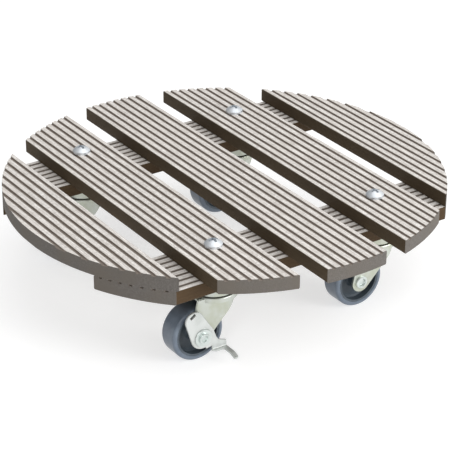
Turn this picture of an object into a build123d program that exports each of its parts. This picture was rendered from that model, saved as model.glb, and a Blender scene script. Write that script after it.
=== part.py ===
from build123d import *
import math
import os

# Round slatted plant caddy on four swivel casters, all sizes in millimetres.
# +X runs along the top slats, +Y across them, +Z up; z = 0 is the floor under the deck centre.

# how far a cutting shape runs past what it cuts
OVERCUT = 1.0
# a rounded corner keeps its middle point this share of the cut inside the sharp corner
CORNER_SHARE = 0.3

# deck boards
DECK_RADIUS = 200.0
BOARD_WIDTH = 61.0
BOARD_THICKNESS = 13.0
SLAT_GAP = 24.0
SLAT_COUNT = 5
GROOVE_COUNT = 7
GROOVE_PITCH = 8.15
GROOVE_TOP_WIDTH = 3.3
GROOVE_BOTTOM_WIDTH = 2.7
GROOVE_DEPTH = 1.5
EDGE_CHAMFER = 0.8
BEARER_X = 111.0

# heights above the floor
WHEEL_RADIUS = 25.0
MOUNT_Z = 73.0
SLAT_BOTTOM_Z = MOUNT_Z + BOARD_THICKNESS
DECK_TOP_Z = SLAT_BOTTOM_Z + BOARD_THICKNESS

# screw that holds each caster, put in from the top of the deck
CASTER_SCREW_RADIUS = 4.0
CASTER_SCREW_HOLE_RADIUS = 4.25
CASTER_SCREW_LENGTH = 50.0
SCREW_HEAD_RADIUS = 8.0
SCREW_HEAD_HEIGHT = 6.0
DOME_RIM_HEIGHT = 2.2
RECESS_WIDTH = 2.1
RECESS_LENGTH = 8.6
RECESS_DEPTH = 3.6
NUT_ACROSS_FLATS = 13.0
NUT_HEIGHT = 6.5
NUT_BORE_RADIUS = 4.02

# countersunk wood screws put in from below, two at each crossing of slats 1, 3 and 5
WOOD_SCREW_RADIUS = 2.0
WOOD_SCREW_HOLE_RADIUS = 2.02
WOOD_SCREW_LENGTH = 20.0
WOOD_SCREW_HEAD_RADIUS = 4.0
WOOD_SCREW_HEAD_DEPTH = 2.4
WOOD_SCREW_TIP_LENGTH = 3.0
WOOD_SCREW_SPREAD = 15.0
OUTER_SLAT_SCREWS = [(-17.0, 162.0), (7.0, 148.0)]
SOCKET_RADIUS = 1.6
SOCKET_DEPTH = 1.2
WOOD_SCREW_HOLE_SPARE = 0.5

# swivel head: pressed cup, upper ball race, ball ring and centre bush
HEAD_RADIUS = 19.5
HEAD_WALL = 1.8
HEAD_ROOF = 2.0
HEAD_RIM_Z = 60.3
HEAD_SHOULDER = 3.0
RACE_INNER_RADIUS = 9.5
RACE_OUTER_RADIUS = 17.0
RACE_BOTTOM_Z = 66.3
RACE_BEVEL = 0.8
BALL_COUNT = 18
BALL_RADIUS = 1.9
BALL_RING_RADIUS = 13.0
BALL_CENTRE_Z = 64.15
BUSH_BORE_RADIUS = 4.1
BUSH_RADIUS = 6.0
BUSH_FLANGE_RADIUS = 10.5
BUSH_FLANGE_TOP_Z = 57.2
BUSH_FLANGE_THICKNESS = 1.2

# fork: pressed steel, the wheel trails towards -Y
STEEL = 2.0
CROWN_TOP_Z = 59.5
CROWN_RADIUS = 21.0
CROWN_SKIRT_BOTTOM_Z = 55.0
CROWN_HOLE_RADIUS = 6.06
CROWN_EDGE_ROUND = 0.9
LOWER_RACE_INNER_RADIUS = 9.0
LOWER_RACE_OUTER_RADIUS = 16.6
LOWER_RACE_TOP_Z = 62.2
LEG_OUTER_X = 12.8
LEG_INNER_X = LEG_OUTER_X - STEEL
LEG_END_RADIUS = 9.3
LEG_END_STEPS = 16
LEG_TOP_Z = CROWN_TOP_Z - 1.0
FRONT_WALL_CENTRE_Y = 6.0
LEADING_EDGE_Y = 20.5
LEADING_EDGE_Z = 54.5
TRAILING_EDGE_Y = -23.3
TRAIL = 21.5
AXLE_HOLE_RADIUS = 3.1

# axle and its bush
AXLE_RADIUS = 3.0
AXLE_HEAD_RADIUS = 5.8
AXLE_HEAD_HEIGHT = 1.8
AXLE_HEAD_CHAMFER = 0.5
AXLE_DIMPLE_DEPTH = 1.7
AXLE_HEAD_WALL = 2.2
AXLE_NUT_ACROSS_FLATS = 10.0
AXLE_NUT_HEIGHT = 5.0
AXLE_NUT_BORE_RADIUS = 3.02
AXLE_END_PROUD = 0.8
AXLE_BUSH_BORE_RADIUS = 3.05
AXLE_BUSH_RADIUS = 4.5
AXLE_BUSH_HALF_LENGTH = 10.78

# wheel
WHEEL_BORE_RADIUS = 4.55
WHEEL_HALF_WIDTH = 9.9
HUB_RADIUS = 7.5
HUB_HALF_LENGTH = 10.2
WEB_HALF_THICKNESS = 1.6
RIM_INNER_RADIUS = 19.0
RIM_OUTER_RADIUS = 20.8
RIM_STEP = 0.6
DISH_CORNER = 1.5
TYRE_ROUND = 2.6
TYRE_INNER_BEVEL = 0.5

# foot brake on two of the casters, outside the +X leg; (y, z) points are about the axle
LEVER_INNER_X = 15.5
LEVER_STEEL = 1.8
LEVER_OUTER_X = LEVER_INNER_X + LEVER_STEEL
CAM_OFFSET = 2.0
CAM_DIRECTION = 35.0
CAM_RADIUS = 6.4
CAM_BORE_RADIUS = AXLE_RADIUS + 0.05
LEVER_HOLE_RADIUS = 6.46
CAM_OUTER_X = 17.5
BRAKE_WASHER_RADIUS = 8.3
BRAKE_WASHER_THICKNESS = 1.1
BRAKE_AXLE_HEAD_RADIUS = 5.0
BRAKE_AXLE_HEAD_HEIGHT = 2.9
LEVER_BODY_CENTRE = (-0.4, 0.8)
LEVER_BODY_RADIUS = 11.2
LEVER_TIP_CENTRE = (-8.3, 18.0)
LEVER_TIP_RADIUS = 8.6
LEVER_EDGE_CHAMFER = 0.4
LEVER_ARM_FRONT = [(10.0, 5.6), (13.4, -3.2), (15.4, -6.5), (23.4, -9.4)]
LEVER_ARM_BACK = (3.0, -11.6)
TAB_DIRECTION = 118.0
TAB_OUTER_RADIUS = 18.6
TAB_THICKNESS = 1.8
TAB_WIDTH = 4.0
TAB_END_X = 7.5
SLOT_LENGTH = 5.8
SLOT_WIDTH = 2.8
SLOT_RADIUS = 25.1
SLOT_DIRECTION = 113.7
SLOT_TILT = 12.0
PEDAL_DROP = 14.4
PEDAL_BEND = 4.0
PEDAL_BEND_RADIUS = 1.6
PEDAL_NECK_X = 19.8
PEDAL_FLAT_END_X = 30.0
PEDAL_TIP_X = 36.0
PEDAL_TIP_DROP = 2.2
PEDAL_ROOT_Y = (9.0, 23.4)
PEDAL_TONGUE_Y = (19.2, 23.4)
PEDAL_CORNER_RADIUS = 3.0
PEDAL_PLAN_ROUND = 1.2

AXLE_Y = -TRAIL
AXLE_Z = WHEEL_RADIUS
CAM_Y = CAM_OFFSET * math.cos(math.radians(CAM_DIRECTION))
CAM_Z = CAM_OFFSET * math.sin(math.radians(CAM_DIRECTION))

# caster number: (centre x, centre y, has a brake)
CASTER_Y = BOARD_WIDTH + SLAT_GAP
CASTERS = {
    1: (BEARER_X, -CASTER_Y, True),
    2: (BEARER_X, CASTER_Y, False),
    3: (-BEARER_X, CASTER_Y, False),
    4: (-BEARER_X, -CASTER_Y, True),
}


def cylinder_z(radius, bottom, top, x=0.0, y=0.0):
    """A round bar standing along Z."""
    return Pos(x, y, (bottom + top) / 2) * Cylinder(radius, top - bottom)


def cylinder_x(radius, start, end, y=0.0, z=0.0):
    """A round bar lying along X."""
    return Pos((start + end) / 2, y, z) * Rot(0, 90, 0) * Cylinder(radius, end - start)


def box_between(x_range, y_range, z_range):
    """A box given by its two faces along each axis."""
    centre = [(low + high) / 2 for low, high in (x_range, y_range, z_range)]
    size = [high - low for low, high in (x_range, y_range, z_range)]
    return Pos(*centre) * Box(*size)


def common(first, second):
    """The one solid that two shapes share."""
    return (first & second).solids()[0]


def screw_dome(radius, height):
    """A domed head with a short straight rim, standing on z = 0."""
    rise = height - DOME_RIM_HEIGHT
    ball_radius = (radius**2 + rise**2) / (2 * rise)
    half_angle = math.asin(radius / ball_radius) / 2
    rim = (radius, 0, DOME_RIM_HEIGHT)
    middle = (
        ball_radius * math.sin(half_angle),
        0,
        height - ball_radius + ball_radius * math.cos(half_angle),
    )
    outline = [
        Line((0, 0, 0), (radius, 0, 0)),
        Line((radius, 0, 0), rim),
        ThreePointArc(rim, middle, (0, 0, height)),
        Line((0, 0, height), (0, 0, 0)),
    ]
    return revolve(make_face(outline), Axis.Z, 360)


def hexagon_bar(across_flats, height):
    """A hexagonal bar along Z, standing on z = 0."""
    radius = across_flats / math.sqrt(3)
    return extrude(RegularPolygon(radius, 6), height)


def revolve_about_z(points):
    """Turn a closed outline of (radius, height) points about the Z axis."""
    outline = make_face(Polyline([(r, 0, z) for r, z in points], close=True))
    return revolve(outline, Axis.Z, 360)


def side_plate(points, start_x, thickness):
    """A flat plate in the YZ plane from a closed outline of (y, z) points."""
    outline = make_face(Polyline([(start_x, y, z) for y, z in points], close=True))
    return extrude(outline, thickness, dir=(1, 0, 0))


def board_section():
    """Outline of a grooved board as (across, up) points, its underside at zero."""
    half = BOARD_WIDTH / 2
    top = BOARD_THICKNESS
    points = [
        (-half, EDGE_CHAMFER),
        (-half + EDGE_CHAMFER, 0),
        (half - EDGE_CHAMFER, 0),
        (half, EDGE_CHAMFER),
        (half, top - EDGE_CHAMFER),
        (half - EDGE_CHAMFER, top),
    ]
    for index in range(GROOVE_COUNT):
        centre = ((GROOVE_COUNT - 1) / 2 - index) * GROOVE_PITCH
        points.append((centre + GROOVE_TOP_WIDTH / 2, top))
        points.append((centre + GROOVE_BOTTOM_WIDTH / 2, top - GROOVE_DEPTH))
        points.append((centre - GROOVE_BOTTOM_WIDTH / 2, top - GROOVE_DEPTH))
        points.append((centre - GROOVE_TOP_WIDTH / 2, top))
    points.append((-half + EDGE_CHAMFER, top))
    points.append((-half, top - EDGE_CHAMFER))
    return points


def board_along_x(centre_y, bottom_z):
    """A long grooved board running along X."""
    points = [(-DECK_RADIUS, centre_y + across, bottom_z + up) for across, up in board_section()]
    section = make_face(Polyline(points, close=True))
    return extrude(section, 2 * DECK_RADIUS, dir=(1, 0, 0))


def board_along_y(centre_x, bottom_z):
    """A long grooved board running along Y."""
    points = [(centre_x + across, -DECK_RADIUS, bottom_z + up) for across, up in board_section()]
    section = make_face(Polyline(points, close=True))
    return extrude(section, 2 * DECK_RADIUS, dir=(0, 1, 0))


def slat_centre(index):
    """Y of the centre of slat 1 to 5."""
    return (index - (SLAT_COUNT + 1) / 2) * (BOARD_WIDTH + SLAT_GAP)


def wood_screw_places():
    """(x, y) of every screw that holds slats 1, 3 and 5 to the bearers."""
    places = []
    for outward in (-1, 1):
        places.append((outward * (BEARER_X - WOOD_SCREW_SPREAD), -WOOD_SCREW_SPREAD))
        places.append((outward * (BEARER_X + WOOD_SCREW_SPREAD), WOOD_SCREW_SPREAD))
        for side in (-1, 1):
            for along, across in OUTER_SLAT_SCREWS:
                places.append((outward * (BEARER_X + along), side * across))
    return places


def wood_screw(x, y):
    """Countersunk screw pointing up, its head flush with the bearer's underside."""
    end = MOUNT_Z + WOOD_SCREW_LENGTH
    tip_start = end - WOOD_SCREW_TIP_LENGTH
    shank = cylinder_z(WOOD_SCREW_RADIUS, MOUNT_Z + SOCKET_DEPTH, tip_start)
    tip = revolve_about_z([(0, tip_start), (WOOD_SCREW_RADIUS, tip_start), (0, end)])
    head = revolve_about_z([
        (0, MOUNT_Z),
        (WOOD_SCREW_HEAD_RADIUS, MOUNT_Z),
        (WOOD_SCREW_RADIUS, MOUNT_Z + WOOD_SCREW_HEAD_DEPTH),
        (0, MOUNT_Z + WOOD_SCREW_HEAD_DEPTH),
    ])
    socket = Pos(0, 0, MOUNT_Z) * extrude(RegularPolygon(SOCKET_RADIUS, 6), SOCKET_DEPTH)
    return Pos(x, y, 0) * (shank + tip + head - socket)


def wood_screw_hole(x, y):
    """The hole one wood screw fills in the bearer and the slat."""
    clearance = WOOD_SCREW_HOLE_RADIUS - WOOD_SCREW_RADIUS
    top = MOUNT_Z + WOOD_SCREW_LENGTH + WOOD_SCREW_HOLE_SPARE
    bore = cylinder_z(WOOD_SCREW_HOLE_RADIUS, MOUNT_Z, top, x, y)
    sink = revolve_about_z([
        (0, MOUNT_Z),
        (WOOD_SCREW_HEAD_RADIUS + clearance, MOUNT_Z),
        (WOOD_SCREW_RADIUS + clearance, MOUNT_Z + WOOD_SCREW_HEAD_DEPTH),
        (0, MOUNT_Z + WOOD_SCREW_HEAD_DEPTH),
    ])
    return bore + Pos(x, y, 0) * sink


def caster_screw_holes(y_filter=None, x_filter=None):
    """Through holes for the caster screws in one slat or one bearer."""
    holes = []
    for x, y, _ in CASTERS.values():
        if y_filter is not None and abs(y - y_filter) > BOARD_WIDTH / 2:
            continue
        if x_filter is not None and abs(x - x_filter) > BOARD_WIDTH / 2:
            continue
        holes.append(cylinder_z(CASTER_SCREW_HOLE_RADIUS, MOUNT_Z - OVERCUT, DECK_TOP_Z + OVERCUT, x, y))
    return holes


def slat(index):
    """One top slat, sawn to the deck's circle."""
    centre_y = slat_centre(index)
    disc = cylinder_z(DECK_RADIUS, SLAT_BOTTOM_Z - OVERCUT, DECK_TOP_Z + OVERCUT)
    shape = common(board_along_x(centre_y, SLAT_BOTTOM_Z), disc)
    for hole in caster_screw_holes(y_filter=centre_y):
        shape = shape - hole
    for x, y in wood_screw_places():
        if abs(y - centre_y) < BOARD_WIDTH / 2:
            shape = shape - wood_screw_hole(x, y)
    return shape


def bearer(centre_x):
    """One cross board under the slats, sawn to the same circle."""
    disc = cylinder_z(DECK_RADIUS, MOUNT_Z - OVERCUT, SLAT_BOTTOM_Z + OVERCUT)
    shape = common(board_along_y(centre_x, MOUNT_Z), disc)
    for hole in caster_screw_holes(x_filter=centre_x):
        shape = shape - hole
    for x, y in wood_screw_places():
        if abs(x - centre_x) < BOARD_WIDTH / 2:
            shape = shape - wood_screw_hole(x, y)
    return shape


def caster_screw():
    """Pan-head screw with a cross recess, its axis at x = y = 0."""
    head_top = DECK_TOP_Z + SCREW_HEAD_HEIGHT
    recess_bottom = head_top - RECESS_DEPTH
    recess_z = (head_top + recess_bottom) / 2
    shank = cylinder_z(CASTER_SCREW_RADIUS, DECK_TOP_Z - CASTER_SCREW_LENGTH, DECK_TOP_Z)
    dome = Pos(0, 0, DECK_TOP_Z) * screw_dome(SCREW_HEAD_RADIUS, SCREW_HEAD_HEIGHT)
    recess = Pos(0, 0, recess_z) * Box(RECESS_LENGTH, RECESS_WIDTH, RECESS_DEPTH)
    recess = recess + Pos(0, 0, recess_z) * Box(RECESS_WIDTH, RECESS_LENGTH, RECESS_DEPTH)
    recess = recess + cylinder_z(RECESS_WIDTH, recess_bottom, head_top)
    return shank + dome - recess


def king_nut():
    """Hexagon nut that clamps the centre bush up against the deck."""
    bottom = BUSH_FLANGE_TOP_Z - BUSH_FLANGE_THICKNESS - NUT_HEIGHT
    nut = Pos(0, 0, bottom) * hexagon_bar(NUT_ACROSS_FLATS, NUT_HEIGHT)
    return nut - cylinder_z(NUT_BORE_RADIUS, bottom - OVERCUT, bottom + NUT_HEIGHT + OVERCUT)


def swivel_head():
    """Pressed cup that carries the upper race and covers the balls."""
    inner = HEAD_RADIUS - HEAD_WALL
    roof = MOUNT_Z - HEAD_ROOF
    rounding = HEAD_SHOULDER * CORNER_SHARE
    return revolve_about_z([
        (CASTER_SCREW_HOLE_RADIUS, MOUNT_Z),
        (HEAD_RADIUS - HEAD_SHOULDER, MOUNT_Z),
        (HEAD_RADIUS - rounding, MOUNT_Z - rounding),
        (HEAD_RADIUS, MOUNT_Z - HEAD_SHOULDER),
        (HEAD_RADIUS, HEAD_RIM_Z),
        (inner, HEAD_RIM_Z),
        (inner, roof - rounding),
        (inner - rounding, roof),
        (CASTER_SCREW_HOLE_RADIUS, roof),
    ])


def upper_race():
    """Hardened ring over the balls, its upper edge bevelled to clear the cup's corner."""
    top = MOUNT_Z - HEAD_ROOF
    return revolve_about_z([
        (RACE_INNER_RADIUS, RACE_BOTTOM_Z),
        (RACE_OUTER_RADIUS, RACE_BOTTOM_Z),
        (RACE_OUTER_RADIUS, top - RACE_BEVEL),
        (RACE_OUTER_RADIUS - RACE_BEVEL, top),
        (RACE_INNER_RADIUS, top),
    ])


def king_bush():
    """Centre tube the fork turns on, with the flange that keeps the fork up."""
    top = MOUNT_Z - HEAD_ROOF
    bottom = BUSH_FLANGE_TOP_Z - BUSH_FLANGE_THICKNESS
    tube = cylinder_z(BUSH_RADIUS, bottom, top)
    flange = cylinder_z(BUSH_FLANGE_RADIUS, bottom, BUSH_FLANGE_TOP_Z)
    return tube + flange - cylinder_z(BUSH_BORE_RADIUS, bottom - OVERCUT, top + OVERCUT)


def race_balls():
    """The ring of loose balls between fork and upper race."""
    balls = []
    for index in range(BALL_COUNT):
        angle = 2 * math.pi * index / BALL_COUNT
        x = BALL_RING_RADIUS * math.cos(angle)
        y = BALL_RING_RADIUS * math.sin(angle)
        balls.append(Pos(x, y, BALL_CENTRE_Z) * Sphere(BALL_RADIUS))
    return balls


def lower_race():
    """Hardened ring under the balls, seated on the fork's crown."""
    return revolve_about_z([
        (LOWER_RACE_INNER_RADIUS, CROWN_TOP_Z),
        (LOWER_RACE_OUTER_RADIUS, CROWN_TOP_Z),
        (LOWER_RACE_OUTER_RADIUS - RACE_BEVEL, LOWER_RACE_TOP_Z),
        (LOWER_RACE_INNER_RADIUS + RACE_BEVEL, LOWER_RACE_TOP_Z),
    ])


def fork_crown():
    """Round pressed top of the fork: a flat with a short skirt."""
    bottom = CROWN_TOP_Z - STEEL
    edge = CROWN_EDGE_ROUND
    return revolve_about_z([
        (CROWN_HOLE_RADIUS, CROWN_TOP_Z),
        (CROWN_RADIUS - edge, CROWN_TOP_Z),
        (CROWN_RADIUS - edge * CORNER_SHARE, CROWN_TOP_Z - edge * CORNER_SHARE),
        (CROWN_RADIUS, CROWN_TOP_Z - edge),
        (CROWN_RADIUS, CROWN_SKIRT_BOTTOM_Z),
        (CROWN_RADIUS - STEEL, CROWN_SKIRT_BOTTOM_Z),
        (CROWN_RADIUS - STEEL, bottom),
        (CROWN_HOLE_RADIUS, bottom),
    ])


def fork_side_outline():
    """Side view of the fork legs as (y, z) points, up into the crown."""
    distance_y = LEADING_EDGE_Y - AXLE_Y
    distance_z = LEADING_EDGE_Z - AXLE_Z
    distance = math.hypot(distance_y, distance_z)
    slope = math.atan2(distance_z, distance_y) + math.asin(LEG_END_RADIUS / distance)
    start = slope - math.pi / 2
    end = -math.pi
    points = [(LEADING_EDGE_Y, LEG_TOP_Z), (LEADING_EDGE_Y, LEADING_EDGE_Z)]
    for step in range(LEG_END_STEPS + 1):
        angle = start + (end - start) * step / LEG_END_STEPS
        y = AXLE_Y + LEG_END_RADIUS * math.cos(angle)
        z = AXLE_Z + LEG_END_RADIUS * math.sin(angle)
        points.append((y, z))
    points.append((TRAILING_EDGE_Y, LEG_TOP_Z))
    return points


def fork():
    """Fork with its axle holes, turned so that the wheel trails towards -Y."""
    lowest = AXLE_Z - LEG_END_RADIUS - OVERCUT
    rear = AXLE_Y - LEG_END_RADIUS - OVERCUT
    outline = side_plate(fork_side_outline(), -LEG_OUTER_X, 2 * LEG_OUTER_X)
    outer = cylinder_z(LEG_OUTER_X, lowest, LEG_TOP_Z, 0, FRONT_WALL_CENTRE_Y)
    outer = outer + box_between(
        (-LEG_OUTER_X, LEG_OUTER_X), (rear, FRONT_WALL_CENTRE_Y), (lowest, LEG_TOP_Z)
    )
    inner = cylinder_z(LEG_INNER_X, lowest - OVERCUT, CROWN_TOP_Z, 0, FRONT_WALL_CENTRE_Y)
    inner = inner + box_between(
        (-LEG_INNER_X, LEG_INNER_X), (rear - OVERCUT, FRONT_WALL_CENTRE_Y), (lowest - OVERCUT, CROWN_TOP_Z)
    )
    legs = common(outline, outer) - inner
    rear_roof = box_between(
        (-LEG_INNER_X - STEEL / 4, LEG_INNER_X + STEEL / 4),
        (TRAILING_EDGE_Y, -LOWER_RACE_OUTER_RADIUS),
        (CROWN_TOP_Z - STEEL, CROWN_TOP_Z - STEEL / 4),
    )
    shape = legs + fork_crown() + rear_roof
    shape = shape - cylinder_z(CROWN_HOLE_RADIUS, CROWN_SKIRT_BOTTOM_Z, CROWN_TOP_Z + OVERCUT)
    reach = LEG_OUTER_X + OVERCUT
    return shape - cylinder_x(AXLE_HOLE_RADIUS, -reach, reach, AXLE_Y, AXLE_Z)


def axle_head(radius, height):
    """Riveted head with its centre punched in, standing on z = 0."""
    dimple = radius - AXLE_HEAD_WALL
    return revolve_about_z([
        (0, 0),
        (radius, 0),
        (radius, height - AXLE_HEAD_CHAMFER),
        (radius - AXLE_HEAD_CHAMFER, height),
        (dimple + AXLE_HEAD_CHAMFER, height),
        (dimple, height - AXLE_HEAD_CHAMFER),
        (dimple - AXLE_HEAD_CHAMFER, height - AXLE_DIMPLE_DEPTH),
        (0, height - AXLE_DIMPLE_DEPTH),
    ])


def axle(has_brake):
    """Axle with its head on the +X side; a brake adds a wide shoulder behind the head."""
    end = -(LEG_OUTER_X + AXLE_NUT_HEIGHT + AXLE_END_PROUD)
    head_start = CAM_OUTER_X if has_brake else LEG_OUTER_X
    head = axle_head(AXLE_HEAD_RADIUS, AXLE_HEAD_HEIGHT)
    if has_brake:
        head = axle_head(BRAKE_AXLE_HEAD_RADIUS, BRAKE_AXLE_HEAD_HEIGHT)
        head = head + revolve_about_z([
            (0, 0),
            (BRAKE_WASHER_RADIUS, 0),
            (BRAKE_WASHER_RADIUS, BRAKE_WASHER_THICKNESS - AXLE_HEAD_CHAMFER),
            (BRAKE_WASHER_RADIUS - AXLE_HEAD_CHAMFER, BRAKE_WASHER_THICKNESS),
            (0, BRAKE_WASHER_THICKNESS),
        ])
    shank = cylinder_x(AXLE_RADIUS, end, head_start, AXLE_Y, AXLE_Z)
    return shank + Pos(head_start, AXLE_Y, AXLE_Z) * Rot(0, 90, 0) * head


def axle_nut():
    """Nut on the plain end of the axle."""
    nut = hexagon_bar(AXLE_NUT_ACROSS_FLATS, AXLE_NUT_HEIGHT)
    nut = Pos(-LEG_OUTER_X, AXLE_Y, AXLE_Z) * Rot(0, -90, 0) * nut
    end = -(LEG_OUTER_X + AXLE_NUT_HEIGHT + OVERCUT)
    return nut - cylinder_x(AXLE_NUT_BORE_RADIUS, end, 0, AXLE_Y, AXLE_Z)


def axle_bush():
    """Steel tube clamped between the fork legs; the wheel turns on it."""
    tube = cylinder_x(AXLE_BUSH_RADIUS, -AXLE_BUSH_HALF_LENGTH, AXLE_BUSH_HALF_LENGTH, AXLE_Y, AXLE_Z)
    reach = AXLE_BUSH_HALF_LENGTH + OVERCUT
    return tube - cylinder_x(AXLE_BUSH_BORE_RADIUS, -reach, reach, AXLE_Y, AXLE_Z)


def lying_wheel(points):
    """Turn a closed (radius, along-axle) outline about the wheel's axle."""
    shape = Rot(0, 90, 0) * revolve_about_z(points)
    return Pos(0, AXLE_Y, AXLE_Z) * shape


def wheel_core():
    """Moulded hub, web and rim with a deep dish on both sides."""
    half = WHEEL_HALF_WIDTH - RIM_STEP
    side = [
        (WHEEL_BORE_RADIUS, HUB_HALF_LENGTH),
        (HUB_RADIUS - RIM_STEP, HUB_HALF_LENGTH),
        (HUB_RADIUS, HUB_HALF_LENGTH - RIM_STEP),
        (HUB_RADIUS, WEB_HALF_THICKNESS + DISH_CORNER),
        (HUB_RADIUS + DISH_CORNER, WEB_HALF_THICKNESS),
        (RIM_INNER_RADIUS - DISH_CORNER, WEB_HALF_THICKNESS),
        (RIM_INNER_RADIUS, WEB_HALF_THICKNESS + DISH_CORNER),
        (RIM_INNER_RADIUS, half),
        (RIM_OUTER_RADIUS, half),
    ]
    mirrored = [(radius, -along) for radius, along in reversed(side)]
    return lying_wheel(side + mirrored)


def tyre():
    """Solid moulded tread with rounded shoulders."""
    half = WHEEL_HALF_WIDTH
    inner = RIM_OUTER_RADIUS
    outer = WHEEL_RADIUS
    with BuildPart() as tread:
        with BuildSketch(Plane.XZ) as section:
            with Locations(((inner + outer) / 2, 0)):
                Rectangle(outer - inner, 2 * half)
            outer_corners = section.vertices().group_by(Axis.X)[-1]
            fillet(outer_corners, TYRE_ROUND)
            inner_corners = section.vertices().group_by(Axis.X)[0]
            chamfer(inner_corners, TYRE_INNER_BEVEL)
        revolve(axis=Axis.Z)
    return Pos(0, AXLE_Y, AXLE_Z) * Rot(0, 90, 0) * tread.part


def brake_cam():
    """Eccentric steel disc, fixed on the axle, that the lever turns on."""
    disc = cylinder_x(CAM_RADIUS, LEG_OUTER_X, CAM_OUTER_X, AXLE_Y + CAM_Y, AXLE_Z + CAM_Z)
    start = LEG_OUTER_X - OVERCUT
    return disc - cylinder_x(CAM_BORE_RADIUS, start, CAM_OUTER_X + OVERCUT, AXLE_Y, AXLE_Z)


def rounded_link(first, first_radius, second, second_radius):
    """Flat link shape: two circles and the straight-sided band between them."""
    turn = math.atan2(second[1] - first[1], second[0] - first[0])
    distance = math.hypot(second[0] - first[0], second[1] - first[1])
    spread = math.acos((first_radius - second_radius) / distance)
    corners = []
    for centre, radius, sides in ((first, first_radius, (1, -1)), (second, second_radius, (-1, 1))):
        for side in sides:
            y = centre[0] + radius * math.cos(turn + side * spread)
            z = centre[1] + radius * math.sin(turn + side * spread)
            corners.append((y, z))
    band = make_face(Polyline(corners, close=True))
    return Pos(*first) * Circle(first_radius) + Pos(*second) * Circle(second_radius) + band


def lever_plate():
    """Flat part of the lever: body, tip and the arm that runs down to the pedal."""
    link = rounded_link(LEVER_BODY_CENTRE, LEVER_BODY_RADIUS, LEVER_TIP_CENTRE, LEVER_TIP_RADIUS)
    bend_z = -PEDAL_DROP + PEDAL_BEND
    root_start, root_end = PEDAL_ROOT_Y
    arm = make_face(Polyline(
        [(0, 0), *LEVER_ARM_FRONT, (root_end, bend_z), (root_start, bend_z), LEVER_ARM_BACK],
        close=True,
    ))
    plate = extrude(Plane.YZ * (link + arm), LEVER_STEEL, dir=(1, 0, 0))
    plate = Pos(LEVER_INNER_X, AXLE_Y, AXLE_Z) * plate
    rim = plate.faces().sort_by(Axis.X)[-1].edges()
    rim = [edge for edge in rim if edge.center().Z > AXLE_Z + bend_z + LEVER_EDGE_CHAMFER]
    return chamfer(rim, LEVER_EDGE_CHAMFER)


def brake_pedal():
    """Foot plate that bends outwards from the lower edge of the lever."""
    middle_x = LEVER_INNER_X + LEVER_STEEL / 2
    middle_z = AXLE_Z - PEDAL_DROP - LEVER_STEEL / 2
    bend_line = FilletPolyline(
        (middle_x, AXLE_Z - PEDAL_DROP + PEDAL_BEND),
        (middle_x, middle_z),
        (PEDAL_FLAT_END_X, middle_z),
        (PEDAL_TIP_X, middle_z - PEDAL_TIP_DROP),
        radius=PEDAL_BEND_RADIUS,
    )
    root_start, root_end = PEDAL_ROOT_Y
    tongue_start, tongue_end = PEDAL_TONGUE_Y
    strip = extrude(Plane.XZ * trace(bend_line, LEVER_STEEL), root_end - root_start, dir=(0, 1, 0))
    strip = Pos(0, AXLE_Y + root_start, 0) * strip
    hidden_x = LEVER_INNER_X - PEDAL_CORNER_RADIUS - OVERCUT
    plan = make_face(FilletPolyline(
        (hidden_x, root_start - PEDAL_CORNER_RADIUS),
        (LEVER_OUTER_X, root_start),
        (PEDAL_NECK_X, root_start + PEDAL_CORNER_RADIUS),
        (PEDAL_NECK_X, tongue_start),
        (PEDAL_TIP_X, tongue_start),
        (PEDAL_TIP_X, tongue_end),
        (hidden_x, root_end + OVERCUT),
        radius=PEDAL_PLAN_ROUND,
        close=True,
    ))
    plan = Pos(0, AXLE_Y, 0) * plan
    return common(strip, extrude(plan, AXLE_Z, dir=(0, 0, 1)))


def brake_lever():
    """Stamped lever with its pedal and the tab that works inside the rim."""
    tab = box_between(
        (TAB_END_X, LEVER_INNER_X + LEVER_STEEL / 2),
        (-TAB_WIDTH / 2, TAB_WIDTH / 2),
        (TAB_OUTER_RADIUS - TAB_THICKNESS, TAB_OUTER_RADIUS),
    )
    slot = box_between(
        (LEVER_INNER_X - OVERCUT, LEVER_OUTER_X + OVERCUT),
        (-SLOT_LENGTH / 2, SLOT_LENGTH / 2),
        (-SLOT_WIDTH / 2, SLOT_WIDTH / 2),
    )
    slot = Pos(0, 0, SLOT_RADIUS) * Rot(SLOT_TILT, 0, 0) * slot
    slot = Pos(0, AXLE_Y, AXLE_Z) * Rot(SLOT_DIRECTION - 90, 0, 0) * slot
    turned = Pos(0, AXLE_Y, AXLE_Z) * Rot(TAB_DIRECTION - 90, 0, 0)
    start = LEVER_INNER_X - OVERCUT
    cam_hole = cylinder_x(
        LEVER_HOLE_RADIUS, start, LEVER_OUTER_X + OVERCUT, AXLE_Y + CAM_Y, AXLE_Z + CAM_Z
    )
    return lever_plate() + brake_pedal() + turned * tab - slot - cam_hole


def save(name, shape):
    """Write one node."""
    export_step(shape, f"parts/{name}.step")


def save_group(name, solids):
    """Write several separate solids as one node."""
    flat = [solid for shape in solids for solid in shape.solids()]
    export_step(Compound(children=flat), f"parts/{name}.step")


os.makedirs("parts", exist_ok=True)

for slat_index in range(1, SLAT_COUNT + 1):
    save(f"slat_{slat_index}", slat(slat_index))
save("bearer_right", bearer(BEARER_X))
save("bearer_left", bearer(-BEARER_X))
save_group("slat_screws", [wood_screw(x, y) for x, y in wood_screw_places()])
save_group("caster_screws", [Pos(x, y, 0) * caster_screw() for x, y, _ in CASTERS.values()])
save_group("king_nuts", [Pos(x, y, 0) * king_nut() for x, y, _ in CASTERS.values()])

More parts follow.
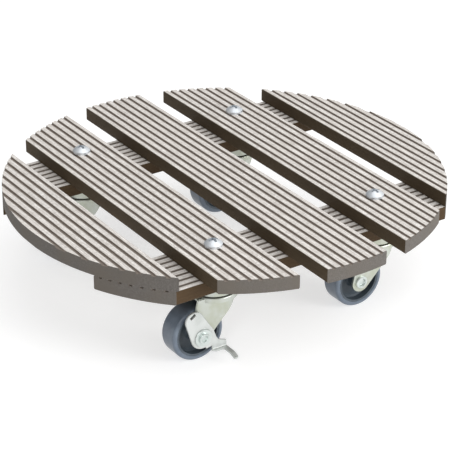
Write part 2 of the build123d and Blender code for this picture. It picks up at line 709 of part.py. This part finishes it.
for number, (caster_x, caster_y, braked) in CASTERS.items():
    place = Pos(caster_x, caster_y, 0)
    save(f"swivel_head_{number}", place * swivel_head())
    save(f"upper_race_{number}", place * upper_race())
    save(f"king_bush_{number}", place * king_bush())
    save_group(f"race_balls_{number}", [place * ball for ball in race_balls()])
    save(f"lower_race_{number}", place * lower_race())
    save(f"fork_{number}", place * fork())
    save(f"axle_{number}", place * axle(braked))
    save(f"axle_nut_{number}", place * axle_nut())
    save(f"axle_bush_{number}", place * axle_bush())
    save(f"wheel_core_{number}", place * wheel_core())
    save(f"tyre_{number}", place * tyre())
    if braked:
        save(f"brake_cam_{number}", place * brake_cam())
        save(f"brake_lever_{number}", place * brake_lever())
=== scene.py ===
import bpy
from mathutils import Matrix, Vector


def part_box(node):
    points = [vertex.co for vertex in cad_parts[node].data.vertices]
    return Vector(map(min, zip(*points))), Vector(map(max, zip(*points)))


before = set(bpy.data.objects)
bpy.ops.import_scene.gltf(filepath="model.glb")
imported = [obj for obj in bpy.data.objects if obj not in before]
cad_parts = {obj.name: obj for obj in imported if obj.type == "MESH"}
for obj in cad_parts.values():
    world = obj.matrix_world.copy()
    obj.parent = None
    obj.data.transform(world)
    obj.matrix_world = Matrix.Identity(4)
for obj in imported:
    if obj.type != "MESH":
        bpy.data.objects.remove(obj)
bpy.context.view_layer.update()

# Round slatted plant caddy on four swivel casters, two of them with a foot brake.
# Metres, +X along the top slats, +Y across them, +Z up from the floor.


def size_of(node):
    """How far a CAD node reaches along X, Y and Z."""
    low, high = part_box(node)
    return high - low


def middle_of(node):
    """The middle of a CAD node's box."""
    low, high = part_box(node)
    return (low + high) / 2


DECK_RADIUS = size_of("slat_3").x / 2
BOARD_WIDTH = size_of("slat_3").y
BOARD_THICKNESS = size_of("slat_3").z
SLAT_PITCH = middle_of("slat_4").y - middle_of("slat_3").y
# each board has a groove along its middle and more at this pitch to both sides
GROOVE_PITCH = 0.00815
CASTERS = (1, 2, 3, 4)
BRAKED = (1, 4)


# ---------------------------------------------------------------- camera

CAMERA_PLACE = (1.2400, -0.8266, 0.8080)
CAMERA_FORWARD = (-0.7403, 0.4945, -0.4554)
CAMERA_RIGHT = (0.5541, 0.8325, 0.0032)
SENSOR_MILLIMETRES = 36.0
LENS_MILLIMETRES = 145.6
NEAREST_SEEN = 0.05


def set_camera():
    """The photograph's viewing angle: 27 degrees down, from the +X, -Y side."""
    data = bpy.data.cameras.new("camera")
    data.sensor_width = SENSOR_MILLIMETRES
    data.lens = LENS_MILLIMETRES
    data.clip_start = NEAREST_SEEN
    camera = bpy.data.objects.new("camera", data)
    bpy.context.scene.collection.objects.link(camera)
    forward = Vector(CAMERA_FORWARD).normalized()
    right = Vector(CAMERA_RIGHT)
    right = (right - right.dot(forward) * forward).normalized()
    up = right.cross(forward)
    turn = Matrix((right, up, -forward)).transposed()
    camera.matrix_world = Matrix.Translation(CAMERA_PLACE) @ turn.to_4x4()
    bpy.context.scene.camera = camera


set_camera()


# ---------------------------------------------------------------- shader helpers

def colour(red, green, blue):
    """A display colour from 0 to 255 as the linear colour a shader takes."""
    linear = []
    for channel in (red, green, blue):
        value = channel / 255.0
        linear.append(value / 12.92 if value <= 0.04045 else ((value + 0.055) / 1.055) ** 2.4)
    return (*linear, 1.0)


class Shader:
    """A material under construction, with short calls for the nodes used here."""

    def __init__(self, name, **values):
        """A new material; values are its surface's constants, such as Metallic."""
        self.material = bpy.data.materials.new(name)
        self.material.use_nodes = True
        self.tree = self.material.node_tree
        self.surface = self.tree.nodes["Principled BSDF"]
        for key, value in values.items():
            self.surface.inputs[key.replace("_", " ")].default_value = value
        coordinates = self.tree.nodes.new("ShaderNodeTexCoord")
        self.place = coordinates.outputs["Object"]
        self.normal = coordinates.outputs["Normal"]

    def add(self, kind, inputs, **settings):
        """One node; an input is a number, a colour or another node's output."""
        made = self.tree.nodes.new("ShaderNode" + kind)
        for key, value in settings.items():
            setattr(made, key, value)
        for key, value in inputs.items():
            if isinstance(value, bpy.types.NodeSocket):
                self.tree.links.new(value, made.inputs[key])
            else:
                made.inputs[key].default_value = value
        return made

    def math(self, operation, first, second=0.0):
        return self.add("Math", {0: first, 1: second}, operation=operation).outputs[0]

    def split(self, vector):
        return self.add("SeparateXYZ", {0: vector}).outputs

    def distance(self, first, second):
        """How far a point is from an axis, from its two coordinates across the axis."""
        squares = [self.math("MULTIPLY", value, value) for value in (first, second)]
        return self.math("SQRT", self.math("ADD", *squares))

    def weighted(self, first, first_share, second, second_share):
        """Two values added up by their shares."""
        first = self.math("MULTIPLY", first, first_share)
        return self.math("ADD", first, self.math("MULTIPLY", second, second_share))

    def step(self, value, start, full):
        """0 at start and 1 at full, smooth between; start may be the larger."""
        inputs = {"Value": value, "From Min": start, "From Max": full}
        return self.add("MapRange", inputs, interpolation_type="SMOOTHSTEP").outputs[0]

    def nears(self, value, limit, start=0.0004, full=0.0001):
        """0 where value is start or more short of limit, and 1 from full short of it."""
        return self.step(value, limit - start, limit - full)

    def spread(self, value, lowest, highest):
        """A value from 0 to 1 spread from lowest to highest."""
        return self.add("MapRange", {"Value": value, "To Min": lowest, "To Max": highest}).outputs[0]

    def scaled(self, vector, scale=(1.0, 1.0, 1.0), offset=(0.0, 0.0, 0.0)):
        inputs = {"Vector": vector, "Scale": scale, "Location": offset}
        return self.add("Mapping", inputs).outputs[0]

    def noise(self, vector, scale=1.0, detail=3.0, roughness=0.55):
        inputs = {"Vector": vector, "Scale": scale, "Detail": detail, "Roughness": roughness}
        return self.add("TexNoise", inputs).outputs[0]

    def mix(self, factor, first, second):
        inputs = {0: factor, 6: first, 7: second}
        return self.add("Mix", inputs, data_type="RGBA").outputs[2]

    def tinted(self, base, value, start, full, share, tint):
        """Lays a tint over base, from none of it where value is start to share at full."""
        return self.mix(self.math("MULTIPLY", self.step(value, start, full), share), base, tint)

    def finish(self, base, roughness=None, relief=None):
        """Connects a colour, a roughness and a relief of (height, depth, strength)."""
        link = self.tree.links.new
        link(base, self.surface.inputs["Base Color"])
        if roughness is not None:
            link(roughness, self.surface.inputs["Roughness"])
        if relief is not None:
            height, depth, strength = relief
            inputs = {"Height": height, "Distance": depth, "Strength": strength}
            link(self.add("Bump", inputs).outputs[0], self.surface.inputs["Normal"])
        return self.material


def dress(names, material):
    """Gives CAD nodes one material in place of their own."""
    for name in names:
        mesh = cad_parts[name].data
        mesh.materials.clear()
        mesh.materials.append(material)


# ---------------------------------------------------------------- composite boards

RIDGE_COLOURS = colour(194, 188, 182), colour(236, 233, 229)
GRAIN_TINT = colour(168, 160, 152)
BRUSHED_TINT = colour(176, 170, 165)
CLOUD_TINT = colour(217, 210, 203)
# a darker tint on the ridges towards the grooves' edges
GROOVE_EDGE_TINT = colour(191, 185, 179)
# grooves coloured darker than the ridges: painted shade in the grooves
GROOVE_SHADE_COLOURS = colour(104, 94, 86), colour(148, 138, 129)
SAWN_COLOURS = colour(88, 84, 80), colour(108, 104, 100)
SAWN_TINT = colour(97, 91, 84)
# long sides and bottoms of the boards: their own darker brown, made darker still as painted shade
SLAT_SIDES_AND_SHADE = colour(56, 45, 32), colour(80, 67, 49)
BEARER_SIDES_AND_SHADE = colour(58, 43, 26), colour(80, 62, 40)

# a groove's colour, which is painted shade, starts this far below the ridges and is full at the second
# depth
GROOVE_START, GROOVE_FULL = 0.0001, 0.0005
# the sides' colour, their own dark brown with painted shade, starts this far inside a board's edge and
# is full at the second distance
SIDE_START, SIDE_FULL = 0.0007, 0.0002
# a face starts to count as upright where its normal's Z is the first value, and does so
# fully at the second
UPRIGHT_START, UPRIGHT_FULL = 0.9, 0.6


def turned(runs_along_x, along, across, upward):
    """Noise scales along, across and up a board, in the order X, Y, Z."""
    return (along, across, upward) if runs_along_x else (across, along, upward)


def board_material(node, runs_along_x, middle, side_and_shade_colours):
    """Brushed ridges, grooves darkened with painted shade, smooth dark sides with painted shade and
    sawn ends of one board.
    """
    shader = Shader(f"board_{node}", Specular_IOR_Level=0.25)
    x, y, z = shader.split(shader.place)
    across = shader.math("SUBTRACT", y if runs_along_x else x, middle)
    # in groove pitches: 0 in the middle of a groove and 0.5 halfway between two
    cell = shader.math("ADD", shader.math("DIVIDE", across, GROOVE_PITCH), 0.5)
    from_groove = shader.math("ABSOLUTE", shader.math("SUBTRACT", shader.math("FRACT", cell), 0.5))

    fibres = turned(runs_along_x, along=45.0, across=1100.0, upward=1100.0)
    brushing = turned(runs_along_x, along=620.0, across=260.0, upward=620.0)
    seed = (7 * middle, 0.3, 0.1)
    streaks = shader.noise(shader.scaled(shader.place, fibres, seed), detail=4.0, roughness=0.65)
    brushed = shader.noise(shader.scaled(shader.place, brushing, seed), roughness=0.6)
    grain = shader.noise(shader.place, scale=800.0, roughness=0.6)
    clouds = shader.noise(shader.scaled(shader.place, offset=seed), scale=22.0, detail=2.0)

    ridge = shader.mix(shader.step(streaks, 0.38, 0.62), *RIDGE_COLOURS)
    ridge = shader.tinted(ridge, grain, start=0.48, full=0.70, share=0.40, tint=GRAIN_TINT)
    ridge = shader.tinted(ridge, brushed, start=0.47, full=0.66, share=0.55, tint=BRUSHED_TINT)
    ridge = shader.tinted(ridge, clouds, start=0.40, full=0.70, share=0.30, tint=CLOUD_TINT)
    # ridges darker towards the grooves' edges
    ridge = shader.tinted(ridge, from_groove, start=0.30, full=0.22, share=0.50, tint=GROOVE_EDGE_TINT)
    # the grooves' darker colour is painted shade
    groove = shader.mix(streaks, *GROOVE_SHADE_COLOURS)
    # long sides: their own darker brown plus painted shade
    side = shader.mix(streaks, *side_and_shade_colours)
    sawn = shader.mix(shader.step(grain, 0.3, 0.8), *SAWN_COLOURS)
    sawn = shader.mix(shader.step(clouds, 0.35, 0.7), sawn, SAWN_TINT)

    depth = shader.math("SUBTRACT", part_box(node)[1].z, z)
    to_side = shader.math("ABSOLUTE", across)
    at_side = shader.nears(to_side, BOARD_WIDTH / 2, SIDE_START, SIDE_FULL)
    at_bottom = shader.nears(depth, BOARD_THICKNESS)
    at_rim = shader.nears(shader.distance(x, y), DECK_RADIUS)
    normal_z = shader.math("ABSOLUTE", shader.split(shader.normal)[2])
    upright = shader.step(normal_z, UPRIGHT_START, UPRIGHT_FULL)
    # painted shade in the grooves, by depth below the ridges
    base = shader.mix(shader.step(depth, GROOVE_START, GROOVE_FULL), ridge, groove)
    # sides and bottoms take the dark brown with its painted shade
    base = shader.mix(shader.math("MAXIMUM", at_side, at_bottom), base, side)
    base = shader.mix(shader.math("MULTIPLY", at_rim, upright), base, sawn)

    height = shader.weighted(streaks, 1.0, grain, 0.5)
    return shader.finish(base, shader.spread(grain, 0.62, 0.9), (height, 0.00035, 0.6))


def dress_boards():
    for number in range(1, 6):
        node = f"slat_{number}"
        dress([node], board_material(node, True, (number - 3) * SLAT_PITCH, SLAT_SIDES_AND_SHADE))
    for node in ("bearer_right", "bearer_left"):
        dress([node], board_material(node, False, middle_of(node).x, BEARER_SIDES_AND_SHADE))


# ---------------------------------------------------------------- metals, wheel and tread

METAL_STAIN = colour(150, 150, 145)
WHEEL_DUST = colour(120, 122, 124)


def zinc_material(name, warm, cool, roughness, seed, metallic=0.92):
    """Zinc plating: faint warm and cool clouds, drawn lines and a fine orange peel."""
    shader = Shader(name, Metallic=metallic)
    offset = (seed, seed * 0.7, 0.0)
    clouds = shader.noise(shader.scaled(shader.place, offset=offset), scale=70.0)
    fine = shader.noise(shader.place, scale=1600.0, detail=2.0)
    drawn = shader.noise(shader.scaled(shader.place, (900.0, 900.0, 60.0), offset))
    base = shader.mix(shader.step(clouds, 0.35, 0.65), warm, cool)
    base = shader.tinted(base, fine, start=0.6, full=0.85, share=0.3, tint=METAL_STAIN)
    height = shader.weighted(drawn, 0.6, fine, 0.4)
    return shader.finish(base, shader.spread(clouds, *roughness), (height, 0.00005, 0.35))


def moulded_material(name, dark, light, roughness, axle):
    """Moulded slate-coloured plastic with rings of turning marks and a little dust."""
    shader = Shader(name, Specular_IOR_Level=0.5)
    centred = shader.scaled(shader.place, offset=-axle)
    x, y, z = shader.split(centred)
    around = shader.add("CombineXYZ", {0: shader.distance(y, z), 1: x}).outputs[0]
    rings = shader.noise(around, scale=1500.0, detail=2.0)
    clouds = shader.noise(centred, scale=90.0, detail=4.0)
    fine = shader.noise(centred, scale=1400.0)
    base = shader.mix(shader.step(clouds, 0.3, 0.75), dark, light)
    base = shader.tinted(base, fine, start=0.55, full=0.8, share=0.2, tint=WHEEL_DUST)
    height = shader.weighted(rings, 0.5, fine, 0.5)
    return shader.finish(base, shader.spread(clouds, *roughness), (height, 0.00006, 0.3))


def dress_metals():
    """Five zinc finishes: screws, plain steel, brake levers, axle ends and races."""
    screw = zinc_material(
        "bright_zinc_screws", warm=colour(210, 215, 220), cool=colour(226, 230, 234),
        roughness=(0.36, 0.46), seed=1.0, metallic=0.8,
    )
    steel = zinc_material(
        "zinc_steel", warm=colour(182, 186, 171), cool=colour(193, 197, 190),
        roughness=(0.3, 0.48), seed=2.0,
    )
    race = zinc_material(
        "race_steel", warm=colour(190, 190, 188), cool=colour(206, 208, 210),
        roughness=(0.12, 0.22), seed=3.0,
    )
    lever = zinc_material(
        "zinc_lever", warm=colour(186, 190, 187), cool=colour(199, 202, 200),
        roughness=(0.38, 0.5), seed=4.0, metallic=0.4,
    )
    rivet = zinc_material(
        "zinc_rivet", warm=colour(202, 210, 207), cool=colour(216, 222, 219),
        roughness=(0.28, 0.42), seed=5.0,
    )
    dress(["caster_screws", "slat_screws", "king_nuts"], screw)
    for number in CASTERS:
        dress([f"{part}_{number}" for part in ("swivel_head", "king_bush", "fork", "axle_bush")], steel)
        dress([f"{part}_{number}" for part in ("upper_race", "lower_race", "race_balls")], race)
        dress([f"axle_{number}", f"axle_nut_{number}"], rivet)
    for number in BRAKED:
        dress([f"brake_cam_{number}"], steel)
        dress([f"brake_lever_{number}"], lever)


def dress_wheels():
    """A darker dished centre and a lighter, glossier tread, centred on each axle."""
    for number in CASTERS:
        axle = middle_of(f"tyre_{number}")
        centre = moulded_material(
            f"wheel_centre_{number}", dark=colour(57, 66, 74), light=colour(74, 85, 93),
            roughness=(0.4, 0.55), axle=axle,
        )
        tread = moulded_material(
            f"tread_{number}", dark=colour(88, 98, 111), light=colour(105, 116, 128),
            roughness=(0.24, 0.38), axle=axle,
        )
        dress([f"wheel_core_{number}"], centre)
        dress([f"tyre_{number}"], tread)


dress_boards()
dress_metals()
dress_wheels()


# ---------------------------------------------------------------- floor and light

FLOOR_SIZE = 12.0
FLOOR_GLOW = 0.6
FLOOR_COLOURS = colour(186, 186, 186), colour(192, 192, 192)

# the light all round is strongest from this direction and weakest from the opposite one
BRIGHT_SIDE = (0.6, 0.6, 0.53)
SKY_DARKEST = 0.15
SKY_BRIGHTEST = 0.95

# place, width and watts of each square lamp, all turned to the middle of the caddy
LAMPS = {
    "overhead": ((0.2, 0.2, 1.7), 1.8, 8.0),
    "right_side": ((1.7, 0.9, 0.7), 1.0, 22.0),
    "camera_side": ((1.2, -1.3, 1.2), 0.4, 7.0),
}
LAMP_TARGET = Vector((0.0, 0.0, 0.05))


def build_floor():
    """A pale matt floor that glows a little, like a light table."""
    bpy.ops.mesh.primitive_plane_add(size=FLOOR_SIZE, location=(0, 0, 0))
    floor = bpy.context.object
    floor.name = "floor"
    shader = Shader("pale_floor", Roughness=0.8, Emission_Strength=FLOOR_GLOW)
    tone = shader.noise(shader.place, scale=3.0, detail=2.0)
    floor.data.materials.append(shader.finish(shader.mix(tone, *FLOOR_COLOURS)))


def build_sky():
    """White light from all round that fades from the bright side to the dark side."""
    world = bpy.data.worlds.new("studio")
    world.use_nodes = True
    nodes = world.node_tree.nodes
    link = world.node_tree.links.new
    background = nodes["Background"]
    background.inputs["Color"].default_value = (1.0, 1.0, 1.0, 1.0)
    direction = nodes.new("ShaderNodeTexCoord")
    facing = nodes.new("ShaderNodeVectorMath")
    facing.operation = "DOT_PRODUCT"
    facing.inputs[1].default_value = BRIGHT_SIDE
    strength = nodes.new("ShaderNodeMapRange")
    strength.inputs["From Min"].default_value = -1.0
    strength.inputs["To Min"].default_value = SKY_DARKEST
    strength.inputs["To Max"].default_value = SKY_BRIGHTEST
    link(direction.outputs["Generated"], facing.inputs[0])
    link(facing.outputs["Value"], strength.inputs["Value"])
    link(strength.outputs[0], background.inputs["Strength"])
    bpy.context.scene.world = world


def build_lamps():
    """Soft square lamps; the strongest one is on the right."""
    for name, (place, width, watts) in LAMPS.items():
        data = bpy.data.lights.new(name, "AREA")
        data.size = width
        data.energy = watts
        lamp = bpy.data.objects.new(name, data)
        lamp.location = place
        aim = LAMP_TARGET - Vector(place)
        lamp.rotation_euler = aim.to_track_quat("-Z", "Y").to_euler()
        bpy.context.scene.collection.objects.link(lamp)


build_floor()
build_sky()
build_lamps()
bpy.context.scene.view_settings.view_transform = "Standard"
